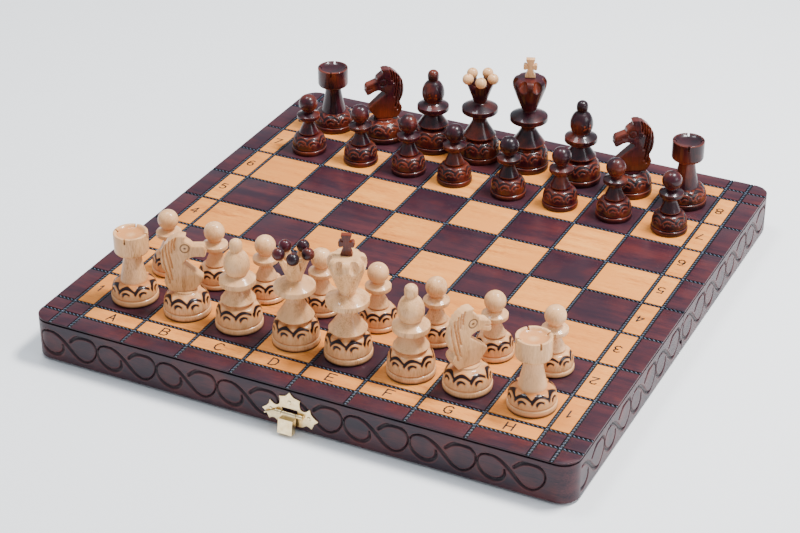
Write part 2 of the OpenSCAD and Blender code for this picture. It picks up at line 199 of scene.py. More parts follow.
def wood(name, pale, mid, deep, along, rough, coat=0.0, coat_rough=0.15, shine=0.3,
         burn_and_shade_colour=(0.010, 0.0015, 0.002), scorch=(0.56, 0.17, 0.025)):
    """Lacquered wood whose grain runs along one axis; vertex values darken it where it is burnt and where
    shade is painted: in creases, grooves, the rook's dish and as a contact shadow at a man's foot.
    """
    s = Shader(name, rough, coat, coat_rough, shine=shine)
    fine = s.noise(grain_scale(2600, along, 0.12), 4, 1.0, 0.6)
    broad = s.noise(grain_scale(260, along, 0.12), 3)
    cloud = s.noise((38, 38, 38), 3)
    tone = s.math("ADD", s.math("MULTIPLY", fine, 0.55), s.math("MULTIPLY", broad, 0.45))
    grain = s.ramp(tone, (0.36, deep), (0.48, mid), (0.60, pale))
    base = s.mix(s.ramp(cloud, (0.35, (0, 0, 0)), (0.7, (1, 1, 1))), grain, mid)
    base = s.mix(s.attribute("tone"), base, (0.86, 0.8, 0.72), "MULTIPLY")
    # the scorch value paints real scorching round the burnt marks and painted shade in creases and
    # grooves; the burn value paints burnt marks and a painted contact shadow
    scorched_and_shaded = s.mix(s.math("MULTIPLY", s.attribute("scorch"), 0.75), base, scorch)
    s.colour(s.mix(s.attribute("burn"), scorched_and_shaded, burn_and_shade_colour))
    s.bump(fine, 0.12, 0.15)
    return s.material


def stained(name, dark, red, glow, along, rough, coat, coat_rough, shine=0.4, patches=0.0):
    """Stained and lacquered wood: cloudy, with the stain rubbed thin to red or orange on the edges, and
    with an orange reflection of the board painted on faces that look down.
    """
    s = Shader(name, rough, coat, coat_rough, shine=shine)
    fine = s.noise(grain_scale(1900, along, 0.1), 4, 1.0, 0.6)
    broad = s.noise(grain_scale(150, along, 0.1), 4)
    cloud = s.noise((30, 30, 30), 3)
    streaks = s.math("ADD", s.math("MULTIPLY", fine, 0.4), s.math("MULTIPLY", broad, 0.6))
    base = s.ramp(streaks, (0.4, dark), (0.6, red))
    base = s.mix(s.ramp(cloud, (0.4, (0, 0, 0)), (0.75, (1, 1, 1))), base, dark)
    spots = s.ramp(s.noise((75, 75, 75), 2), (0.5, (0, 0, 0)), (0.72, (patches, patches, patches)))
    base = s.mix(s.math("MULTIPLY", spots, s.math("ADD", fine, 0.2)), base, glow)
    # the edge value holds rubbed edges and a painted orange reflection on faces that look down
    worn_and_reflected = s.math("MULTIPLY", s.attribute("edge"), s.math("ADD", fine, 0.35))
    base = s.mix(worn_and_reflected, base, glow)
    # near-black for burnt marks, for painted shade in grooves and for a painted contact shadow at a man's
    # foot
    s.colour(s.mix(s.math("MULTIPLY", s.attribute("burn"), 0.6), base, (0.004, 0.002, 0.003)))
    s.bump(fine, 0.08, 0.12)
    return s.material


def make_materials():
    return {
        "light_square": wood("light_square", (0.82, 0.34, 0.082), (0.72, 0.26, 0.055),
                             (0.46, 0.14, 0.026), 0, 0.5, shine=0.12),
        "dark_square": stained("dark_square", (0.025, 0.0095, 0.017), (0.074, 0.017, 0.021),
                               (0.15, 0.022, 0.014), 0, 0.36, 0.06, 0.3, 0.2, 0.3),
        "wall": stained("wall", (0.016, 0.009, 0.017), (0.066, 0.019, 0.024),
                        (0.16, 0.03, 0.02), 0, 0.42, 0.08, 0.25, 0.24, 0.3),
        "natural": wood("natural", (0.90, 0.54, 0.28), (0.74, 0.40, 0.18), (0.40, 0.17, 0.055), 2,
                        0.4, 0.35, 0.1, 0.15),
        "stained": stained("stained", (0.006, 0.0009, 0.0036), (0.054, 0.0036, 0.0090),
                           (0.46, 0.075, 0.011), 2, 0.4, 0.34, 0.06, 0.2, 0.35),
        "rope": rope_material_with_painted_highlights(),
        "ink": plain("ink", (0.006, 0.003, 0.003), (0.018, 0.007, 0.006), 0.6),
        "brass": plain("brass", (0.74, 0.53, 0.26), (0.96, 0.78, 0.46), 0.28, 1.0),
    }


def plain(name, low, high, rough, metallic=0.0):
    s = Shader(name, rough, metallic=metallic)
    patches = s.noise((420, 420, 420), 4)
    s.colour(s.ramp(patches, (0.3, low), (0.7, high)))
    s.bump(s.noise((2400, 2400, 900), 2), 0.1, 0.1)
    return s.material


def rope_material_with_painted_highlights():
    s = Shader("rope", 0.35, shine=0.2)
    strand = s.attribute("strand")
    # the crowns of the strands are painted pale blue-grey as highlights, over black gaps between them
    s.colour(s.ramp(strand, (0.68, (0.001, 0.001, 0.002)), (0.86, (0.035, 0.05, 0.08)),
                    (0.98, (0.36, 0.44, 0.58))))
    return s.material


# -------------------- mesh helpers


def add_object(name, mesh):
    obj = bpy.data.objects.new(name, mesh)
    bpy.context.scene.collection.objects.link(obj)
    return obj


def new_mesh(name, verts, faces, values=None, sharp_angle=35):
    """A smooth mesh from points in millimetres, with named values per vertex."""
    mesh = bpy.data.meshes.new(name)
    mesh.from_pydata((np.asarray(verts, float) * MM).tolist(), [], faces)
    for key, numbers in (values or {}).items():
        layer = mesh.attributes.new(key, "FLOAT", "POINT")
        layer.data.foreach_set("value", np.asarray(numbers, np.float32))
    mesh.shade_smooth()
    mesh.set_sharp_from_angle(angle=math.radians(sharp_angle))
    return mesh


def make_piece(name, verts, faces, material, body, values, replaces=(), sharp_angle=35):
    """Makes a piece of the visual model that rides on a body."""
    obj = add_object(name, new_mesh(name, verts, faces, values, sharp_angle))
    obj.data.materials.append(material)
    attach(obj, body)
    if replaces:
        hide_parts(*replaces)
    return obj


def grid_faces(rows, columns, start=0, flip=False):
    i, j = np.meshgrid(np.arange(rows - 1), np.arange(columns - 1), indexing="ij")
    a = start + i * columns + j
    quads = np.stack([a, a + 1, a + columns + 1, a + columns], -1).reshape(-1, 4)
    return (quads[:, ::-1] if flip else quads).tolist()


def border_of_grid(rows, columns):
    """Vertex numbers around a grid, in order."""
    top = list(range(columns))
    right = [r * columns + columns - 1 for r in range(1, rows)]
    bottom = [(rows - 1) * columns + c for c in range(columns - 2, -1, -1)]
    left = [r * columns for r in range(rows - 2, 0, -1)]
    return top + right + bottom + left


def closed_between(outer, inner):
    """A solid between two grids of the same size: outer and inner are (rows, columns, 3)."""
    rows, columns, _ = outer.shape
    count = rows * columns
    faces = grid_faces(rows, columns) + grid_faces(rows, columns, count, flip=True)
    ring = border_of_grid(rows, columns)
    for a, b in zip(ring, ring[1:] + ring[:1]):
        faces.append([b, a, a + count, b + count])
    return np.concatenate([outer.reshape(-1, 3), inner.reshape(-1, 3)]), faces


def outline_solid(rings):
    """Closes a stack of rings with the same number of points, from the bottom ring to the top one."""
    n = len(rings[0])
    faces = [list(range(n))[::-1], [(len(rings) - 1) * n + k for k in range(n)]]
    for level in range(len(rings) - 1):
        for k in range(n):
            a, b = level * n + k, level * n + (k + 1) % n
            faces.append([a, b, b + n, a + n])
    return [p for ring in rings for p in ring], faces


def block(x0, x1, y0, y1, z0, z1):
    """The two rings of a block."""
    return [[(x0, y0, z), (x1, y0, z), (x1, y1, z), (x0, y1, z)] for z in (z0, z1)]


def join(parts):
    """Joins (verts, faces) pairs."""
    verts, faces = [], []
    for v, f in parts:
        start = len(verts)
        verts.extend(v)
        faces.extend([[i + start for i in face] for face in f])
    return verts, faces


def distance_to_path(points, path, weights=None):
    """Shortest distance from each 2-D point to a path of short segments, less a width per segment."""
    best = np.full(len(points), 1e9)
    for k in range(len(path) - 1):
        a, d = path[k], path[k + 1] - path[k]
        t = np.clip(((points - a) @ d) / max(d @ d, 1e-12), 0, 1)
        gap = np.linalg.norm(points - a - t[:, None] * d, axis=1)
        if weights is not None:
            gap = gap / weights[k]
        best = np.minimum(best, gap)
    return best


def smooth_path(points, steps=5):
    """A Catmull-Rom curve through the points."""
    p = np.asarray(points, float)
    ends = np.vstack([2 * p[0] - p[1], p, 2 * p[-1] - p[-2]])
    out = []
    for k in range(len(p) - 1):
        a, b, c, d = ends[k:k + 4]
        for t in np.arange(steps) / steps:
            out.append(0.5 * (2 * b + (c - a) * t + (2 * a - 5 * b + 4 * c - d) * t ** 2
                              + (3 * b - a - 3 * c + d) * t ** 3))
    return np.array(out + [p[-1]])


def cutter(name, rings, matrix):
    """A solid to cut with, from a stack of rings in millimetres, put in place by a matrix."""
    verts, faces = outline_solid(rings)
    mesh = bpy.data.meshes.new(name)
    mesh.from_pydata([tuple(matrix @ Vector(v) * MM) for v in verts], [], faces)
    return add_object(name, mesh)


def cut(obj, cutters):
    """Subtracts cutter objects from obj for good."""
    for cutter_object in cutters:
        tool = obj.modifiers.new("cut", "BOOLEAN")
        tool.operation = "DIFFERENCE"
        tool.solver = "EXACT"
        tool.object = cutter_object
    evaluated = obj.evaluated_get(bpy.context.evaluated_depsgraph_get())
    mesh = bpy.data.meshes.new_from_object(evaluated)
    obj.modifiers.clear()
    obj.data = mesh
    for cutter_object in cutters:
        bpy.data.objects.remove(cutter_object)


# -------------------- board


def plan_ring(inset, z, side):
    """The outline of one half at a height, counter-clockwise seen from above, drawn in from the edge."""
    r = CORNER_R - inset
    edge = HALF_W - inset
    middle = HALF_W - CORNER_R
    points = [(-edge, -FOLD)]
    for start, cx in ((180, -middle), (270, middle)):
        for a in np.radians(np.linspace(start, start + 90, 10)):
            points.append((cx + r * math.cos(a), -middle + r * math.sin(a)))
    points.append((edge, -FOLD))
    if side > 0:
        points = [(-x, -y) for x, y in points]
    return [(x, y, z) for x, y in points]


def board_slab(side, half, mats):
    """The panel under the squares, with a fine groove round its edge that is painted dark as shade."""
    # the third number of each level paints shade into the groove
    levels = ((0, UNDER_PANEL, 0), (0, TOP - 1.85, 0), (0.2, TOP - 1.7, 0.6), (0.9, TOP - 1.6, 1),
              (0.9, TOP - 0.95, 1), (0.15, TOP - 0.85, 0.6), (0, TOP - 0.78, 0), (0, TOP - LINE_DEEP, 0),
              (0.3, TOP - 0.45, 0))
    verts, faces = outline_solid([plan_ring(inset, z, side) for inset, z, _ in levels])
    count = len(verts) // len(levels)
    values = {"burn": np.repeat([burn for _, _, burn in levels], count), "edge": np.zeros(len(verts))}
    make_piece(f"{half}_panel_core", verts, faces, mats["wall"], f"{half}_half", values,
               [f"{half}_panel"])


def tile(outline):
    """A low slab with softly rounded top edges."""
    middle = np.mean(outline, axis=0)
    rings = []
    for inset, z in ((0, TOP - LINE_DEEP), (0, TOP - 0.22), (0.09, TOP - 0.06), (0.25, TOP)):
        ring = []
        for x, y in outline:
            dx, dy = middle[0] - x, middle[1] - y
            ring.append((x + math.copysign(inset, dx), y + math.copysign(inset, dy), z))
        rings.append(ring)
    return outline_solid(rings)


def cell_outline(x0, x1, y0, y1, side):
    """A cell of the board between lines, with the board's round corner where it has one."""
    inside = HALF_W - 0.1
    if x0 > -inside and x1 < inside or max(abs(y0), abs(y1)) < inside:
        return [(x0, y0), (x1, y0), (x1, y1), (x0, y1)]
    end = 1 if x1 > inside else -1
    cx, cy = end * (HALF_W - CORNER_R), side * (HALF_W - CORNER_R)
    corner = [(cx + end * CORNER_R * math.sin(a), cy + side * CORNER_R * math.cos(a))
              for a in np.linspace(0, math.pi / 2, 10)]
    inner_x, inner_y = (x0 if end > 0 else x1), (y0 if side > 0 else y1)
    points = [(inner_x, inner_y), (inner_x, side * HALF_W), *corner, (end * HALF_W, inner_y)]
    return points[::-1] if end * side > 0 else points


def board_cells(side, half, mats):
    """Squares, label strips and border as tiles that stand a little above the lines between them."""
    g = LINE_W / 2
    xs = [-HALF_W - g, *LINES_X, HALF_W + g]
    ys = [FOLD - 0.25, *LINES_Y, HALF_W + g]
    left_border, right_border, far_border = 0, len(xs) - 2, len(ys) - 2
    parts = {"light_square": [], "dark_square": []}
    tones = {"light_square": [], "dark_square": []}
    for i in range(len(xs) - 1):
        for j in range(len(ys) - 1):
            x0, x1 = xs[i] + g, xs[i + 1] - g
            near, far = ys[j] + g, ys[j + 1] - g
            y0, y1 = (near, far) if side > 0 else (-far, -near)
            file, rank = i - 2, (4 + j if side > 0 else 3 - j)
            square = 0 <= file < 8 and 0 <= rank < 8
            border = i in (left_border, right_border) or j == far_border
            label = (0 <= file < 8) != (0 <= rank < 8) and not border
            light = (file + rank) % 2 == 1 if square else label
            kind = "light_square" if light else "dark_square"
            verts, faces = tile(cell_outline(x0, x1, y0, y1, side))
            parts[kind].append((verts, faces))
            tones[kind] += [((i * 7 + j * 5 + (side > 0) * 3) % 8) / 8.0] * len(verts)
    for kind, made in parts.items():
        verts, faces = join(made)
        zeros = np.zeros(len(verts))
        make_piece(f"{half}_{kind}s", verts, faces, mats[kind], f"{half}_half",
                   {"tone": tones[kind], "burn": zeros, "scorch": zeros, "edge": zeros})


def rope(start, end, across, low, high):
    """A rolled twist line along a straight run: a solid with slanting strands on top."""
    pitch, slant, strand_height = 2.2, 1.3, 0.65
    start, end = np.array(start, float), np.array(end, float)
    length = np.linalg.norm(end - start)
    u_dir = (end - start) / length
    v_dir = np.array(across, float)
    us = np.linspace(0, length, int(length / pitch * 8) + 1)
    vs = np.linspace(low, high, 6)
    u, v = np.meshgrid(us, vs, indexing="ij")
    place = start + u[..., None] * u_dir + v[..., None] * v_dir
    twist = slant if abs(u_dir[0]) > 0.5 else -slant
    phase = (place @ np.abs(u_dir) + twist * (place - start) @ np.abs(v_dir)) / pitch * math.pi
    strand = np.abs(np.sin(phase))
    round_top = np.sqrt(np.clip(1 - (v / (LINE_W * 0.56)) ** 2, 0, 1))
    z = TOP - LINE_DEEP + strand_height * round_top * (0.2 + 0.8 * strand)
    outer = np.dstack([place, z[..., None]])
    inner = outer.copy()
    inner[..., 2] = TOP - LINE_DEEP - 0.2
    verts, faces = closed_between(outer, inner)
    if np.cross(u_dir, v_dir) < 0:
        faces = [f[::-1] for f in faces]
    # the strand value is highest on the crown of each strand, where the rope material paints its
    # highlights
    values = np.concatenate([(strand * round_top).ravel(), np.zeros(strand.size)])
    return (verts.tolist(), faces), values


def board_ropes(side, half, mats):
    edge = HALF_W - 0.05
    full = LINE_W / 2
    runs = [rope((x, side * FOLD), (x, side * edge), (1, 0), -full, full) for x in LINES_X]
    for y in (0, *LINES_Y):
        low = FOLD if y == 0 else -full
        runs.append(rope((-edge, side * y), (edge, side * y), (0, side), low, full))
    verts, faces = join([solid for solid, _ in runs])
    make_piece(f"{half}_rolled_lines", verts, faces, mats["rope"], f"{half}_half",
               {"strand": np.concatenate([strand for _, strand in runs])},
               sharp_angle=60)


# Strokes of the letters and numbers, on a field 4 wide and 6 high
GLYPHS = {
    "A": [[(0, 0), (2, 6), (4, 0)], [(0.8, 2.2), (3.2, 2.2)]],
    "B": [[(0, 0), (0, 6), (2.6, 6), (3.6, 5.2), (3.6, 4), (2.6, 3.2), (0, 3.2)],
          [(2.6, 3.2), (3.9, 2.3), (3.9, 0.9), (2.8, 0), (0, 0)]],
    "C": [[(4, 5), (3, 5.9), (1.5, 5.9), (0.3, 4.6), (0, 3), (0.3, 1.4), (1.5, 0.1), (3, 0.1), (4, 1)]],
    "D": [[(0, 0), (0, 6), (2, 6), (3.5, 4.9), (4, 3), (3.5, 1.1), (2, 0), (0, 0)]],
    "E": [[(4, 6), (0, 6), (0, 0), (4, 0)], [(0, 3), (3.2, 3)]],
    "F": [[(4, 6), (0, 6), (0, 0)], [(0, 3), (3.2, 3)]],
    "G": [[(4, 5), (3, 5.9), (1.5, 5.9), (0.3, 4.6), (0, 3), (0.3, 1.4), (1.5, 0.1), (3, 0.1), (4, 1),
           (4, 2.8), (2.6, 2.8)]],
    "H": [[(0, 0), (0, 6)], [(4, 0), (4, 6)], [(0, 3), (4, 3)]],
    "1": [[(1, 4.8), (2.4, 6), (2.4, 0)]],
    "2": [[(0.3, 4.8), (0.9, 5.7), (2.2, 6), (3.5, 5.4), (3.7, 4.2), (0.2, 0), (4, 0)]],
    "3": [[(0.4, 5.2), (1.6, 6), (3, 5.8), (3.6, 4.6), (2.9, 3.4), (1.8, 3.2)],
          [(1.8, 3.2), (3.2, 2.9), (3.9, 1.7), (3.2, 0.3), (1.6, 0), (0.2, 0.9)]],
    "4": [[(3, 0), (3, 6), (0, 1.8), (4, 1.8)]],
    "5": [[(3.6, 6), (0.8, 6), (0.5, 3.4), (2, 3.8), (3.5, 3.2), (3.9, 1.8), (3.2, 0.4), (1.6, 0),
           (0.3, 0.7)]],
    "6": [[(3.4, 5.6), (2, 6), (0.8, 5), (0.2, 3), (0.3, 1.2), (1.4, 0), (2.8, 0), (3.8, 1), (3.8, 2.4),
           (2.8, 3.4), (1.2, 3.3), (0.3, 2.2)]],
    "7": [[(0, 6), (4, 6), (1.6, 0)]],
    "8": [[(2, 3.2), (0.6, 3.8), (0.4, 5), (1.2, 5.9), (2.8, 5.9), (3.6, 5), (3.4, 3.8), (2, 3.2),
           (0.4, 2.4), (0, 1.2), (1, 0), (3, 0), (4, 1.2), (3.6, 2.4), (2, 3.2)]],
}


def glyph(letter, x, y, size, turned):
    """One burnt sign, centred on a place on the board; turned ones face the other player."""
    half_width = 0.4
    parts = []
    for stroke in GLYPHS[letter]:
        p = np.array(stroke, float) - (2, 3)
        p *= (-1 if turned else 1) * size
        p += (x - 0.7, y)
        for a, b in zip(p, p[1:]):
            along = (b - a) / np.linalg.norm(b - a)
            a, b = a - along * half_width * 0.7, b + along * half_width * 0.7
            side = np.array((-along[1], along[0])) * half_width
            ring = [a - side, b - side, b + side, a + side]
            parts.append(outline_solid([[(*q, z) for q in ring] for z in (TOP - 0.1, TOP + 0.02)]))
    return parts


def board_signs(side, half, mats):
    strip = (4 * SQUARE + LABEL_EDGE) / 2
    parts = []
    for i in range(8):
        parts += glyph(FILES[i].upper(), (i - 3.5) * SQUARE, side * strip, 0.95, side > 0)
    for rank in (range(4, 8) if side > 0 else range(4)):
        for end in (-1, 1):
            parts += glyph(str(rank + 1), end * strip, (rank - 3.5) * SQUARE, 0.9, end > 0)
    verts, faces = join(parts)
    make_piece(f"{half}_letters_and_numbers", verts, faces, mats["ink"], f"{half}_half", {},
               sharp_angle=30)


# One carved scroll: [distance along, depth below the playing face], a loop, a slanting run and a drop
SCROLL = smooth_path([
    (13.4, -11.6), (13.5, -14.2), (12.2, -16.6), (9.3, -18.1), (5.4, -17.7), (2, -15.3), (0.3, -12),
    (0.7, -8.6), (2.6, -6.4), (5.6, -5.6), (9, -5.9), (12.6, -7.9), (15.8, -10.8), (18.7, -14),
    (21.9, -17), (25.9, -18.4), (30, -16.4), (32.5, -12.4), (32.7, -8.6), (31, -5.7), (28, -4.7),
    (24.4, -4.7), (21.2, -5.8), (18, -8.6)], 4)
SCROLL_PITCH = 33.4
SCROLL_START = -138.0
SCROLL_UNITS = 8
SCROLL_HALF = 1.1
SCROLL_DEEP = 0.95
SIDE_SHIFT = -4.4   # past the fold, read from outside, a side wall's pattern lags by this
WALL_ROWS = np.linspace(RIM, UNDER_PANEL, 51)


def scroll_depth(u, z):
    """(depth, value for the groove, value for its worn rim) of the carving at developed places."""
    points = np.stack([u.ravel(), z.ravel() - TOP], 1)
    t = np.linspace(0, 1, len(SCROLL) - 1)
    width = 0.72 + 0.28 * np.sin(t * math.pi * 5 - 0.6)
    best = np.full(len(points), 1e9)
    for unit in range(SCROLL_UNITS):
        start = SCROLL_START + unit * SCROLL_PITCH
        near = (points[:, 0] > start - 2) & (points[:, 0] < start + SCROLL_PITCH + 2)
        if near.any():
            local = points[near] - (start, 0)
            best[near] = np.minimum(best[near], distance_to_path(local, SCROLL, width))
    best = best.reshape(u.shape)
    groove = np.clip((SCROLL_HALF + 0.02 - best) / 0.45, 0, 1)
    rim = 0.35 * np.exp(-((best - SCROLL_HALF - 0.25) / 0.35) ** 2)
    return SCROLL_DEEP * np.clip(1 - best / SCROLL_HALF, 0, 1) ** 0.7, groove, rim


def carved_face(places, normals, developed):
    """(points, groove, rim) of a face with the scroll sunk in; places are (columns, 2) along it."""
    z, u = np.meshgrid(WALL_ROWS, developed, indexing="ij")
    depth, groove, rim = scroll_depth(u, z)
    sunk = places[None, :, :] - depth[..., None] * normals[None, :, :]
    return np.dstack([sunk, z[..., None]]), groove, rim


def flat_face(places):
    z = np.repeat(WALL_ROWS[:, None], len(places), 1)
    return np.dstack([np.broadcast_to(places, (*z.shape, 2)), z[..., None]]), 0 * z, 0 * z


def end_face(end, y):
    """The carved face of the board's left (-1) or right (1) end, over places y."""
    along = end * y
    developed = np.where(along < 0, along, along + SIDE_SHIFT)
    places = np.stack([np.full(len(y), end * HALF_W), y], 1)
    return carved_face(places, np.tile((end, 0.0), (len(y), 1)), developed)


def wall_piece(name, body, outer, back, mats):
    """A wall between two faces."""
    verts, faces = closed_between(outer[0], back[0])
    values = {key: np.concatenate([outer[k].ravel(), back[k].ravel()])
              for k, key in ((1, "burn"), (2, "edge"))}
    return make_piece(name + "_carved", verts, faces, mats["wall"], body, values, [name])


def board_walls(side, half, mats):
    body = f"{half}_half"
    step = 0.36
    middle = HALF_W - CORNER_R

    # the long outer wall, with both round corners
    flat = np.linspace(-middle, middle, round(2 * middle / step) + 1)
    bend = np.linspace(0, math.pi / 2, 30)[1:]
    turn = np.concatenate([-bend[::-1], 0 * flat, bend])
    along = np.concatenate([0 * bend - middle, flat, 0 * bend + middle])
    normals = np.stack([np.sin(turn), -np.cos(turn)], 1)
    places = np.stack([along, np.full(len(along), -middle)], 1) + CORNER_R * normals
    inner = np.stack([np.linspace(-HALF_W, HALF_W, len(along)), np.full(len(along), WALL - HALF_W)], 1)
    wall_piece(f"{half}_outer_wall", body,
               carved_face(-side * places, -side * normals, along + CORNER_R * turn),
               flat_face(-side * inner), mats)

    # the short side walls
    near, far = FOLD + WALL, HALF_W - WALL
    for end, label in ((-1, "left"), (1, "right")):
        y = np.linspace(near, far, round((far - near) / step)) * side
        y = np.sort(y) if end > 0 else np.sort(y)[::-1]
        inner = np.stack([np.full(len(y), end * (HALF_W - WALL)), y], 1)
        wall_piece(f"{half}_{label}_wall", body, end_face(end, y), flat_face(inner), mats)

    # the wall at the fold: both of its ends carry the scroll
    y = np.sort(np.linspace(FOLD, near, round(WALL / step)) * side)
    wall = wall_piece(f"{half}_hinge_wall", body, end_face(1, y), end_face(-1, y), mats)
    cut(wall, hinge_cutters(side, half))


def hinge_cutters(side, half):
    """Room for the leaves and barrels of both hinges."""
    leaf_low, leaf_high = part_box(f"hinge_{half}_leaves")
    pins_low, pins_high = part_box("hinge_pins")
    half_length = 12.0
    axis = (pins_low.z + pins_high.z) / 2 / MM
    reach = max(abs(leaf_low.y), abs(leaf_high.y)) / MM + 0.2
    made = []
    for x in (pins_low.x / MM + half_length, pins_high.x / MM - half_length):
        for name, room, deep, z0, z1 in (("seat", 0.3, reach, RIM - 1, axis + 0.91),
                                         ("barrel", 0.6, 2.2, RIM - 1.2, axis + 2.1)):
            y0, y1 = (-0.5, deep) if side > 0 else (-deep, 0.5)
            wide = half_length + room
            made.append(cutter(name, block(x - wide, x + wide, y0, y1, z0, z1), Matrix()))
    return made


# -------------------- chessmen


def arc(cx, cz, rx, rz, start, end, n=8):
    a = np.radians(np.linspace(start, end, n + 1))
    return [(cx + rx * math.cos(v), cz + rz * math.sin(v)) for v in a]


def base_line(r, waist_r, waist_z):
    """Turned base: a rounded band, a groove and a bowl that closes in to the waist."""
    band = 0.3 * r
    bowl = band + 0.8
    return ([(0, 0), (r - 0.8, 0)] + arc(r - 0.8, 0.7, 0.75, 0.7, -80, -10, 3)
            + [(r, band * 0.5)] + arc(r - 0.6, band - 0.6, 0.55, 0.55, 10, 75, 3)
            + [(r - 0.95, band + 0.3), (r - 0.75, band + 0.55)]
            + [(waist_r + (r - 0.4 - waist_r) * math.cos(a) ** 0.8,
                bowl + (waist_z - bowl) * math.sin(a) ** 0.8)
               for a in np.radians(np.linspace(0, 85, 42))])


def skirt_line(lip, drop, neck, curve, disc_r, disc_low, disc_high):
    """Groove over the bowl, skirt with an overhanging lip, its neck, and a flat round disc."""
    skirt = [(neck[0] + (lip[0] - neck[0]) * (1 - up) ** curve, lip[1] + (neck[1] - lip[1]) * up)
             for up in np.linspace(0, 1, 15)]
    return ([(lip[0] - 1.5 * drop, lip[1] - 1.35 * drop), (lip[0] - 1.4 * drop, lip[1] - drop),
             (lip[0] - 0.6 * drop, lip[1] - 0.75 * drop), (lip[0] - 0.2 * drop, lip[1] - 0.5 * drop),
             (lip[0] - 0.03 * drop, lip[1] - 0.2 * drop)]
            + skirt + [(neck[0] + 0.15, (neck[1] + disc_low) / 2), (neck[0] + 0.5, disc_low - 1.3),
                       (0.62 * disc_r, disc_low - 0.3)]
            + arc(disc_r - 0.6, disc_low + 0.6, 0.6, 0.6, -80, 0, 5)
            + arc(disc_r - 0.45, disc_high - 0.45, 0.45, 0.45, 0, 64, 5))


# Places of the burnt marks round a bowl, in degrees: not quite even
MARK_PLACES = (4, 47, 92, 134, 178, 223, 268, 313)


def bow(s, z, half, apex, low, pen):
    """Distance outside a hand-burnt bow, which starts thick and low and ends thin and bent down."""
    t = np.clip(s / half, -1, 1)
    drop = (apex - low) * (1.1 - 0.25 * t)
    line = apex - drop * np.abs(t) ** 2.1
    slope = drop * 2.1 * np.abs(t) ** 1.1 / half
    off = np.hypot(np.abs(z - line) / np.sqrt(1 + slope ** 2), np.clip(np.abs(s) - half, 0, None))
    return off - pen * (1 - 0.3 * t)


def arches(angle, z, r, scale, lift):
    """(burn, scorch) of a ring of paired bows: a wide one over a narrow one, repeated round a bowl."""
    burn, near = np.zeros_like(z), np.full_like(z, 9.0)
    for place in MARK_PLACES:
        away = np.mod(angle - math.radians(place) + math.pi, 2 * math.pi) - math.pi
        s = away * r / scale
        up = (z - lift - 4.3) / scale + 4.3
        gap = np.minimum(bow(s, up, 3.8, 10.3, 8.7, 0.55), bow(s, up, 1.55, 8.2, 7.5, 0.5))
        burn = np.maximum(burn, np.clip(0.7 - gap / 0.18, 0, 1))
        near = np.minimum(near, np.clip(gap, 0, None))
    return burn, np.exp(-(near / 0.5) ** 2)


def lathe(profile, decorate=None, turns=216):
    """Turns a profile [(r, z)...] that starts and ends on the axis. Returns verts, faces, values."""
    line = np.array(profile, float)
    inner = line[1:-1]
    rows = len(inner)
    angle = np.linspace(0, 2 * math.pi, turns, endpoint=False)
    a, r = np.meshgrid(angle, inner[:, 0])
    z = np.broadcast_to(inner[:, 1][:, None], a.shape).copy()
    values = {key: np.zeros(a.shape) for key in ("burn", "scorch", "edge")}
    # edge: rubbed edges plus a painted orange reflection on faces that look down; crease: painted shade in
    # the profile's hollows
    edge, crease = edge_wear_and_painted_light(line)
    values["edge"] += edge[:, None]
    values["scorch"] += crease[:, None]
    # a painted contact shadow round the foot of each man
    values["burn"] += np.clip((1.3 - z) / 0.35, 0, 1) * (z[0, 0] >= 0)
    if decorate:
        r = decorate(a, r, z, values)
    verts = np.stack([r * np.cos(a), r * np.sin(a), z], -1).reshape(-1, 3)
    verts = np.vstack([verts, [0, 0, line[0][1]], [0, 0, line[-1][1]]])
    faces = []
    for row in range(rows - 1):
        for k in range(turns):
            p, q = row * turns + k, row * turns + (k + 1) % turns
            faces.append([p, q, q + turns, p + turns])
    low, high = rows * turns, rows * turns + 1
    faces += [[low, (k + 1) % turns, k] for k in range(turns)]
    faces += [[high, (rows - 1) * turns + k, (rows - 1) * turns + (k + 1) % turns] for k in range(turns)]
    values = {key: np.concatenate([v.ravel(), [0, 0]]) for key, v in values.items()}
    return verts, faces, values


def edge_wear_and_painted_light(line):
    """Two values from 0 to 1 per inner point of a profile: rubbed wear where it stands proud together with
    a painted reflection where it looks down, and painted shade where it is hollow.
    """
    d1, d2 = line[1:-1] - line[:-2], line[2:] - line[1:-1]
    turn = np.arctan2(d1[:, 0] * d2[:, 1] - d1[:, 1] * d2[:, 0], (d1 * d2).sum(1))
    span = (np.linalg.norm(d1, axis=1) + np.linalg.norm(d2, axis=1)) / 2
    sharp = np.clip((turn / np.maximum(span, 0.25) - 0.4) / 1.1, 0, 1)
    # faces that look down get a painted orange reflection of the board
    down = np.clip((d1 + d2)[:, 0] / np.maximum(np.linalg.norm(d1 + d2, axis=1), 1e-6) - 0.3, 0, 1)
    # hollows get painted shade
    hollow = np.clip((-turn / np.maximum(span, 0.25) - 0.5) / 1.5, 0, 1)
    return np.clip(0.25 * sharp + 0.5 * down, 0, 1), 0.7 * hollow


def bowl_marks(scale, lift, low, high):
    """Burnt and slightly sunk arcs on the bowl of a base."""
    def decorate(a, r, z, values):
        burn, scorch = arches(a, z, r, scale, lift)
        on = (z > low) & (z < high)
        values["burn"] += burn * on
        values["scorch"] += scorch * on
        values["edge"] = np.clip(values["edge"] + 0.35 * (scorch - burn) * on, 0, 1)
        return r - 0.28 * burn * on
    return decorate


def ball(r, z, start=-78, n=14):
    return arc(0, z, r, r, start, 90, n)[:-1] + [(0, z + r)]


def pawn_line():
    return (base_line(9.7, 5, 10.7) + skirt_line((5.5, 11.6), 0.7, (3, 17.4), 1.1, 6.4, 20, 22.4)
            + [(3.3, 23.6), (2.75, 24)] + ball(5.2, 28.8, -58, 18))


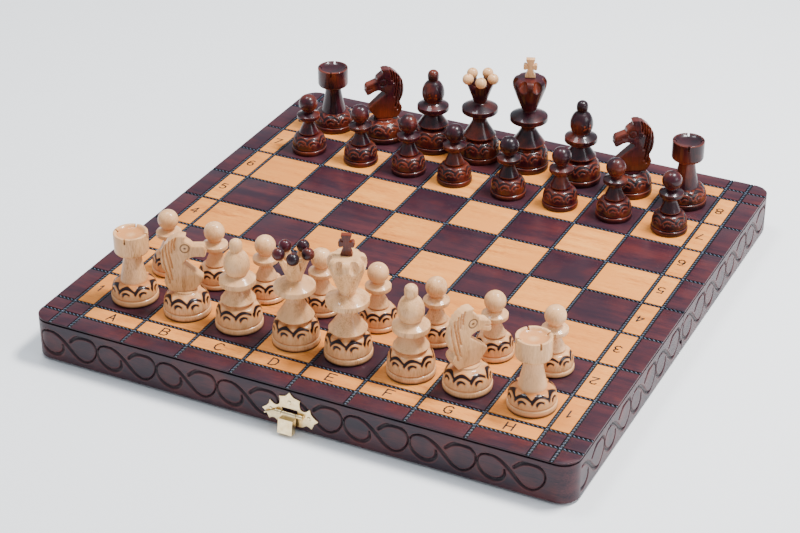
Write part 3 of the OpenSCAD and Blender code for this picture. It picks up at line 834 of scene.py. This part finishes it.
def bishop_line():
    head = 33.6
    return (base_line(11.7, 7.4, 12.7) + skirt_line((8.5, 15.1), 1.2, (4.3, 21.3), 1.05, 8.9, 23.3, 26.3)
            + [(6.4, 27.5), (4.9, 28.4), (4.55, 28.9)] + arc(0, head, 6.3, 7.4, -38, 0, 8)
            + arc(0, head, 6.3, 8.2, 6, 62, 9) + [(2.8, 41.3), (3.1, 42.1), (3.15, 44.2)]
            + arc(0, 44.5, 3.1, 2.8, 12, 90, 8)[:-1] + [(0, 47.3)])


def bishop_marks(a, r, z, values):
    r = bowl_marks(1, 1.4, 4.4, 12.8)(a, r, z, values)
    # the mitre's two short arcs on opposite sides of the head
    for turn, lift in ((0.4, 33.6), (0.4, 31.9)):
        local = (np.mod(a - turn, math.pi) - math.pi / 2) * 6
        gap = np.abs(np.sqrt((local / 2.2) ** 2 + ((z - lift) / 1.4) ** 2) - 1) * 1.4
        mark = np.clip((0.34 - gap) / 0.25, 0, 1) * (z > lift + 0.1) * (np.abs(z - lift) < 2)
        values["edge"] = np.clip(values["edge"] + 0.8 * mark, 0, 1)
        r = r - 0.2 * mark
    return r


def rook_line():
    head_r, head_z = 8.5, 25.6
    shaft = [(4.2 + 2.9 * (1 - t) ** 1.35, 9.9 + (head_z - 9.9) * t) for t in np.linspace(0.045, 1, 14)]
    return (base_line(11.7, 7.2, 10.5) + shaft + [(5.2, head_z + 0.25)]
            + arc(head_r - 1.6, head_z + 2.2, 1.6, 1.8, -70, 0, 6)
            + [(head_r, 36.4)] + arc(head_r - 0.35, 36.65, 0.35, 0.35, 10, 90, 4)
            + [(head_r - 1.1, 37), (head_r - 1.4, 36.8), (head_r - 2.0, 36.1), (5, 35.6), (3, 35.3),
               (0, 35.2)])


def rook_marks(a, r, z, values):
    r = bowl_marks(1, -0.4, 4.4, 10.6)(a, r, z, values)
    # painted shade round the foot of the shaft and inside the dish
    foot = 0.9 * np.exp(-((z - 10.6) / 0.9) ** 2)
    dish = 0.85 * ((z > 34) & (r < 6.8))
    values["scorch"] = np.clip(values["scorch"] + foot + dish, 0, 1)
    return r


QUEEN_H = 46.4
KING_H = 54.0
CROWN_START = -64   # degrees: where the first of the queen's five beads stands


def queen_line():
    top = QUEEN_H
    crown = [(3.7 + 4.3 * t ** 1.1, 34.4 + (top - 34.4) * t) for t in np.linspace(0, 1, 14)]
    return (base_line(11.7, 7.8, 12.2) + skirt_line((9, 14.6), 1.3, (4, 23.2), 1.15, 10, 28.2, 31.2)
            + [(7, 32.6), (4.7, 33.7), (3.9, 34.1)] + crown
            + [(7.8, top + 0.15), (5.8, top), (4.4, top - 2.5), (0, top - 4.5)])


def king_line():
    crown = [(3.5 + 5.6 * t ** 0.85, 34.4 + 14.2 * t) for t in np.linspace(0, 1, 44)]
    return (base_line(11.7, 8, 12.4) + skirt_line((9.3, 15.2), 1.3, (4, 23.6), 1.15, 10.4, 28.3, 31.3)
            + [(7.2, 32.6), (4.7, 33.7), (3.8, 34.1)] + crown[1:]
            + [(9.2, 49.0), (9.28, 49.5), (9.3, 50)] + arc(6.6, 50.8, 2.7, 2.9, 0, 76, 24)
            + [(6.8, 53.8), (6.3, 53.85), (5.8, 53.9), (5.2, 53.93), (4.4, 53.96), (3, KING_H),
               (0, KING_H)])


def king_marks(a, r, z, values):
    r = bowl_marks(1, 1.6, 4.4, 12.6)(a, r, z, values)
    # seven petals cut by a round gouge that leans in over the shoulder
    step, first, middle = 2 * math.pi / 7, math.radians(39.6), 49.8
    local = (np.mod(a + first + step / 2, step) - step / 2) * np.minimum(r, 9)
    hollow = np.clip(1 - (local / 2.6) ** 2 - ((z - middle) / 5) ** 2, 0, None)
    gouge = 9.75 - 0.4 * (z - middle) - 2.5 * np.sqrt(hollow)
    deep = np.where((hollow > 0) & (z > 44), np.clip(r - gouge, 0, None), 0)
    values["edge"] = np.clip(values["edge"] * (z < 40) + 0.25 * np.clip(deep, 0, 1) * (z > 40), 0, 1)
    return r - deep


def knight_base_line():
    return base_line(11.7, 5.9, 11.6) + [(5.75, 12.3), (5.7, 13), (0, 13)]


# Side view of the horse's head, nose towards +X: chest, jaw, nose, brow and ear, then crest and mane
HORSE_CHEST = [(3.2, 0), (4.6, 0.5), (6.2, 2.3), (8, 4.5), (8.9, 6.2), (8.6, 7.4), (4.9, 10.6),
               (-0.4, 14.9), (0, 15.9)]
HORSE_NOSE = [(1.4, 16.9), (3.6, 17.7), (6, 17.6), (8.4, 16.7), (9.6, 16.4), (10.3, 16.9), (10.7, 17.9),
              (9.9, 18.3), (10.6, 18.7), (10.6, 20.2), (10.2, 21.8), (9.4, 22.4), (4.5, 23.5)]
HORSE_BACK = [(4.1, 24.6), (3.4, 25.5), (1.9, 26.6), (1.0, 27.3), (0.8, 28.2), (1.4, 29.4), (0, 29.9),
              (-2.2, 29.8), (-4.8, 28.7), (-7.2, 26.8), (-9.2, 24.5), (-10.7, 21.6), (-11.3, 18.6),
              (-11.3, 15.6), (-10.8, 12.8), (-9.9, 10.8), (-9, 9.2), (-8.9, 8.2), (-9.7, 6.6), (-9.9, 5.4),
              (-9.5, 3.9), (-8.4, 1.9), (-7, 0)]
MANE_CUTS = [[(-9.7, 23.2), (-9.9, 19.1), (-9.4, 14.9), (-8.4, 10.6), (-7.7, 7.4), (-7.2, 5)],
             [(-8.1, 25.3), (-8.4, 22.6), (-8.1, 19.5), (-7.3, 14.9), (-6.3, 9.2), (-5.9, 6.7)],
             [(-6.6, 27), (-7, 24.4), (-6.9, 20.9), (-6.3, 17), (-5.6, 13)],
             [(-4.9, 28.2), (-5.5, 25.1), (-5.6, 21.2)],
             [(-3.3, 28.9), (-4.1, 26.1), (-4.3, 22.9)]]
HORSE_MOUTH = [(10.4, 18.3), (8.8, 18.4), (7.4, 18.9)]
HALF_THICK = 3.6


def horse_half_width(p, outline, eye_place):
    """(half thickness, burn, scorch, edge) of the head at points of its side view."""
    x, z = p[:, 0], p[:, 1]
    # thinner towards the top of the head, down the chest, and along the crest
    width = HALF_THICK - 0.85 * np.clip((z - 9) / 11, 0, 1)
    width -= 0.9 * np.clip((x - 1) / 6, 0, 1) * np.clip((15 - z) / 3, 0, 1)
    back = distance_to_path(p, np.array(HORSE_BACK[10:17]))
    width -= 1.3 * np.clip(1 - back / 2.0, 0, 1)
    # softened and worn along its rim, and with more of the edge colour towards the bottom of the head
    rim = distance_to_path(p, np.vstack([outline, outline[:1]]))
    width -= 0.35 * np.clip(1 - rim / 0.6, 0, 1) ** 2
    edge = 0.12 * np.clip(1 - rim / 0.75, 0, 1) + 0.25 * np.clip((14 - z) / 8, 0, 1)
    # strands of the mane and the mouth, with painted shade in their grooves, and the eye's ring and dot
    scorch = np.zeros(len(p))
    for line in MANE_CUTS:
        gap = distance_to_path(p, smooth_path(line))
        width -= 1.0 * np.clip(1 - gap / 0.62, 0, 1)
        scorch = np.maximum(scorch, 0.6 * np.clip(1 - gap / 0.5, 0, 1))
        edge = np.maximum(edge, 0.2 * np.exp(-((gap - 0.5) / 0.2) ** 2))
    mouth = distance_to_path(p, np.array(HORSE_MOUTH))
    width -= 0.45 * np.clip(1 - mouth / 0.5, 0, 1)
    scorch = np.maximum(scorch, 0.6 * np.clip(1 - mouth / 0.4, 0, 1))
    away = np.linalg.norm(p - eye_place, axis=1)
    ring = np.clip(1.35 - np.abs(away - 2.15) / 0.36, 0, 1)
    dot = np.clip(1.6 - np.hypot((x - eye_place[0]) / 0.65, (z - eye_place[1]) / 0.4), 0, 1)
    width -= 0.25 * ring
    return width, np.maximum(0.8 * ring, dot), scorch, edge


def horse_outline(lift):
    """The outline with the nose raised by a distance."""
    nose = [(x, z + lift * (0.25 + 0.75 * min(max((x - 3) / 6, 0), 1))) for x, z in HORSE_NOSE]
    return HORSE_CHEST + nose + HORSE_BACK


def horse_head(lift):
    """The head as a solid: a dense side view, mirrored, with a band round its edge."""
    outline = horse_outline(lift)
    step = 0.3
    ring = []
    for a, b in zip(outline, outline[1:] + outline[:1]):
        a, b = np.array(a), np.array(b)
        count = max(1, round(np.linalg.norm(b - a) / 0.5))
        ring += [tuple(a + (b - a) * k / count) for k in range(count)]
    ring = np.array(ring)
    xs, zs = np.meshgrid(np.arange(-12, 11.5, step), np.arange(0.2, 31.2, step))
    inside = np.stack([xs.ravel(), zs.ravel()], 1)
    inside = inside[points_in(inside, ring)]
    inside = inside[distance_to_path(inside, np.vstack([ring, ring[:1]])) > 0.25]
    points = np.vstack([ring, inside])
    n = len(ring)
    loop = [(k, (k + 1) % n) for k in range(n)]
    flat = delaunay_2d_cdt([Vector(p) for p in points], loop, [list(range(n))], 1, 1e-6)
    co = np.array([tuple(v) for v in flat[0]])
    triangles = [list(t) for t in flat[2]]
    width, burn, scorch, edge = horse_half_width(co, ring, (0.8, 22.4 + 0.5 * lift))
    count = len(co)
    near = np.stack([co[:, 0], -width, co[:, 1]], 1)
    far = np.stack([co[:, 0], width, co[:, 1]], 1)
    faces = triangles + [[i + count for i in t[::-1]] for t in triangles]
    order = [int(np.argmin(((co - p) ** 2).sum(1))) for p in ring]
    for a, b in zip(order, order[1:] + order[:1]):
        faces.append([b, a, a + count, b + count])
    values = {"burn": burn, "scorch": scorch, "edge": edge}
    return np.vstack([near, far]), faces, {key: np.tile(v, 2) for key, v in values.items()}


def points_in(points, ring):
    """Which points lie inside a closed ring."""
    inside = np.zeros(len(points), bool)
    x, y = points[:, 0], points[:, 1]
    for (x0, y0), (x1, y1) in zip(ring, np.roll(ring, -1, axis=0)):
        crosses = (y0 > y) != (y1 > y)
        with np.errstate(divide="ignore", invalid="ignore"):
            at = (x1 - x0) * (y - y0) / (y1 - y0) + x0
        inside ^= crosses & (x < at)
    return inside


def crown_cutter(turn):
    """The V between two points of the queen's crown."""
    half, depth, top = 2.35, 6.9, QUEEN_H + 0.6
    rings = [[(x, half, top), (x, -half, top), (x, 0, top - depth)] for x in (1.3, 12)]
    return cutter("wedge", rings, Matrix.Rotation(turn, 4, "Z"))


def cut_mesh(mesh, cutters):
    """The mesh with cutters taken away."""
    holder = add_object("holder", mesh)
    cut(holder, cutters)
    made = holder.data
    bpy.data.objects.remove(holder)
    made.shade_smooth()
    made.set_sharp_from_angle(angle=math.radians(35))
    return made


def bead_centres():
    """Places of the five beads round a queen's crown."""
    low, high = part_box("white_queen_beads")
    queen_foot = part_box("white_queen")[0].z
    z = (low.z + high.z) / 2 - queen_foot
    for i in range(5):
        turn = math.radians(i * 72 + CROWN_START)
        yield 7.2 * math.cos(turn), 7.2 * math.sin(turn), z / MM


def bead_mesh():
    """Five turned beads, each with a small hole on top."""
    r = 3.1
    line = [(0, -r), *arc(0, 0, r, r, -84, 78, 22), (0.5, r - 0.2), (0.45, r - 1.1), (0, r - 1.2)]
    bead, bead_faces, values = lathe(line, turns=40)
    verts, faces = join([((bead + centre).tolist(), bead_faces) for centre in bead_centres()])
    return verts, faces, {key: np.tile(v, 5) for key, v in values.items()}


def cross_mesh():
    """A flat sawn cross with a spread foot, softened along its edges, on top of a king."""
    foot, waist, arm, top, height = 2.8, 1.4, 3.7, 2.4, 11.0
    half_thick, soft, turn = 1.5, 0.3, Matrix.Rotation(0.35, 3, "Z")
    right = [(foot, 0), (foot, 0.9), (2.2, 2.6), (waist, 4.2), (waist + 0.2, 5), (arm - 0.6, 4.5),
             (arm, 5.1), (arm, 7.3), (arm - 0.6, 7.9), (waist + 0.2, 7.4), (waist + 0.3, 8.2),
             (top, height - 0.9), (top, height)]
    outline = right + [(-x, z) for x, z in right[::-1]]
    rings, flat = [], half_thick - soft
    for y, inset in ((half_thick, soft), (flat, 0), (-flat, 0), (-half_thick, soft)):
        ring = []
        for x, z in outline:
            pull = Vector((x, 0, z - 6)).normalized() * inset
            ring.append(turn @ (Vector((x, y, z)) - pull) + Vector((0, 0, KING_H)))
        rings.append(ring)
    verts, faces = outline_solid(rings)
    n = len(outline)
    zeros = np.zeros(len(verts))
    return verts, faces, {"burn": zeros, "scorch": zeros, "edge": np.repeat([0.12, 0.3, 0.3, 0.12], n)}


def build_men():
    """One mesh for each kind of man or part of one."""
    solids = {
        "pawn": lathe(pawn_line(), bowl_marks(0.88, 0, 3.6, 10.8)),
        "rook": lathe(rook_line(), rook_marks),
        "bishop": lathe(bishop_line(), bishop_marks),
        "queen": lathe(queen_line(), bowl_marks(1, 1.3, 4.4, 12.3)),
        "king": lathe(king_line(), king_marks),
        "knight_base": lathe(knight_base_line(), bowl_marks(1, 0.4, 4.4, 11.6)),
        "knight_head": horse_head(-1.2),
        "knight_head_high": horse_head(2.0),
        "beads": bead_mesh(),
        "cross": cross_mesh(),
    }
    sharp = {"knight_head": 40, "knight_head_high": 40, "cross": 30}
    kinds = {kind: new_mesh(kind, *solid, sharp.get(kind, 35)) for kind, solid in solids.items()}
    slots = [cutter("slot", block(6.2, 10.2, -0.5, 0.5, 34, 39), Matrix.Rotation(k * math.pi / 2, 4, "Z"))
             for k in range(4)]
    wedges = [crown_cutter(math.radians((k + 0.5) * 72 + CROWN_START)) for k in range(5)]
    kinds["rook"] = cut_mesh(kinds["rook"], slots)
    kinds["queen"] = cut_mesh(kinds["queen"], wedges)
    return kinds


# How far the men are turned on their squares, in degrees
HEAD_TURN = {"white_knight_head_b": 26, "white_knight_head_g": 56,
             "black_knight_head_b": 221, "black_knight_head_g": 214}
ROOK_TURN = {"white_rook_a": 12, "white_rook_h": 45}
HIGH_HEAD = "white_knight_head_b"   # holds its nose up, and is of darker wood


def put_man(kinds, kind, node, base_node, body, material, slot, turn, lift=0.0):
    """Places a shared mesh on the axis of a CAD base, turned by an angle in degrees."""
    low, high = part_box(base_node)
    place = Vector(((low.x + high.x) / 2, (low.y + high.y) / 2, low.z + lift * MM))
    mesh = kinds[kind].copy()
    mesh.transform(Matrix.Translation(place) @ Matrix.Rotation(math.radians(turn), 4, "Z"))
    tone = mesh.attributes.new("tone", "FLOAT", "POINT")
    shade = 0.9 if node == HIGH_HEAD else (sum(map(ord, node)) * 5 % 8) / 16
    tone.data.foreach_set("value", np.full(len(mesh.vertices), shade, np.float32))
    mesh.materials.clear()
    mesh.materials.append(material)
    obj = add_object(node + "_turned", mesh)
    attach(obj, body)
    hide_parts(node)


def place_men(mats):
    kinds = build_men()
    for side, own, other in (("white", ("natural", "natural_men"), ("stained", "stained_men")),
                             ("black", ("stained", "stained_men"), ("natural", "natural_men"))):
        own_look, other_look = (mats[own[0]], own[1]), (mats[other[0]], other[1])
        for i, file in enumerate(FILES):
            node = f"{side}_pawn_{file}"
            put_man(kinds, "pawn", node, node, node, *own_look, i * 47)
        for kind, files in (("rook", "ah"), ("bishop", "cf")):
            for i, file in enumerate(files):
                node = f"{side}_{kind}_{file}"
                turn = ROOK_TURN.get(node, 20) if kind == "rook" else i * 31
                put_man(kinds, kind, node, node, node, *own_look, turn)
        for file in "bg":
            base, body = f"{side}_knight_base_{file}", f"{side}_knight_{file}"
            put_man(kinds, "knight_base", base, base, body, *own_look, 11)
            head = f"{side}_knight_head_{file}"
            kind = "knight_head_high" if head == HIGH_HEAD else "knight_head"
            put_man(kinds, kind, head, base, body, *own_look, HEAD_TURN[head], 13)
        for kind, extra, top in (("queen", "beads", "queen_beads"), ("king", "cross", "king_cross")):
            node = f"{side}_{kind}"
            put_man(kinds, kind, node, node, node, *own_look, 0)
            put_man(kinds, extra, f"{side}_{top}", node, node, *other_look, 0)


# -------------------- metal


def dress_metal(mats):
    """Brass on the CAD metal parts, with their edges softened."""
    for node in ("clasp_plate", "clasp_hasp", "clasp_pin", "catch_plate", "hinge_front_leaves",
                 "hinge_back_leaves", "hinge_pins", "front_nails", "back_nails"):
        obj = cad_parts[node]
        obj.data.materials.clear()
        obj.data.materials.append(mats["brass"])
        soft = obj.modifiers.new("soft", "BEVEL")
        soft.width = 0.12 * MM
        soft.segments = 2
        soft.limit_method = "ANGLE"
        soft.angle_limit = math.radians(40)


def place_floor():
    mesh = bpy.data.meshes.new("floor")
    mesh.from_pydata([(-6, -6, 0), (6, -6, 0), (6, 6, 0), (-6, 6, 0)], [], [(0, 1, 2, 3)])
    floor = add_object("floor", mesh)
    s = Shader("floor", 0.9)
    s.out.inputs["Base Color"].default_value = (0.93, 0.93, 0.93, 1)
    mesh.materials.append(s.material)


# -------------------- build

place_camera()
place_lights()
place_floor()
looks = make_materials()
for half_side, half_name in ((-1, "front"), (1, "back")):
    board_slab(half_side, half_name, looks)
    board_cells(half_side, half_name, looks)
    board_ropes(half_side, half_name, looks)
    board_signs(half_side, half_name, looks)
    board_walls(half_side, half_name, looks)
place_men(looks)
dress_metal(looks)
